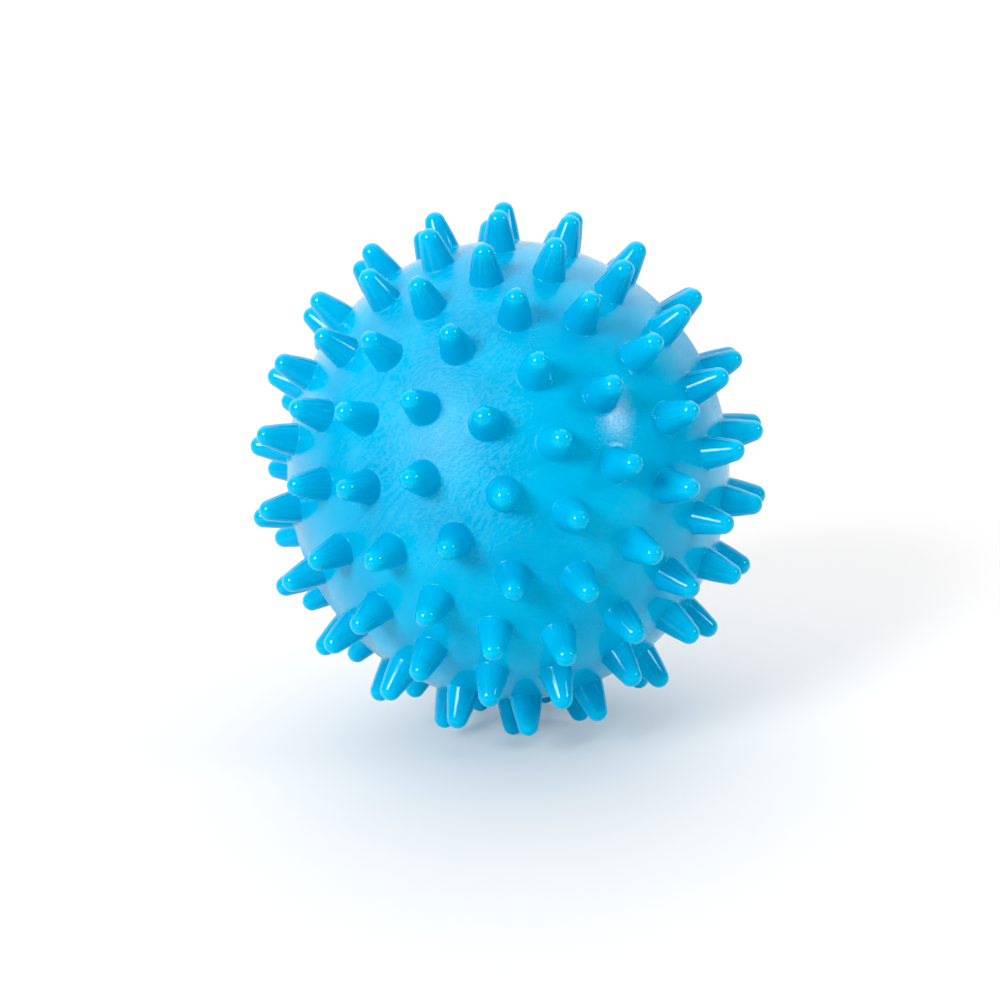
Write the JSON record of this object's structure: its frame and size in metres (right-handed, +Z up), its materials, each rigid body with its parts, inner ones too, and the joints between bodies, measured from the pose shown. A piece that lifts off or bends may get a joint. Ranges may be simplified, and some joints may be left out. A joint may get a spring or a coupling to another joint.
{
  "type": "spiked massage ball",
  "caption": "Hollow soft ball covered with short blunt spikes, rolled over the body to massage it, with a needle valve that sets its firmness.",
  "frame": {"origin": "the ball's centre", "axes": "+Z up as the ball stands on three of its spikes; +X across the ball's slightly narrow width; -Y is the side where the mould's front pole looks out"},
  "size_m": [0.0878, 0.0906, 0.0905],
  "materials": {
    "soft_pvc": "soft PVC, glossy on the spikes and satin on the skin",
    "valve_pvc": "satin",
    "valve_rubber": "matte"
  },
  "bodies": {
    "root": {"ball_skin": "soft_pvc", "front_crown_spike": "soft_pvc", "front_spikes_ring_1": "soft_pvc", "front_spikes_ring_2": "soft_pvc", "front_spikes_ring_3": "soft_pvc", "front_spikes_ring_4": "soft_pvc", "front_spikes_ring_5": "soft_pvc", "back_spikes_ring_1": "soft_pvc", "back_spikes_ring_2": "soft_pvc", "back_spikes_ring_3": "soft_pvc", "back_spikes_ring_4": "soft_pvc", "back_spikes_ring_5": "soft_pvc", "valve_housing": "valve_pvc", "valve_core": "valve_rubber"}
  },
  "joints": []
}
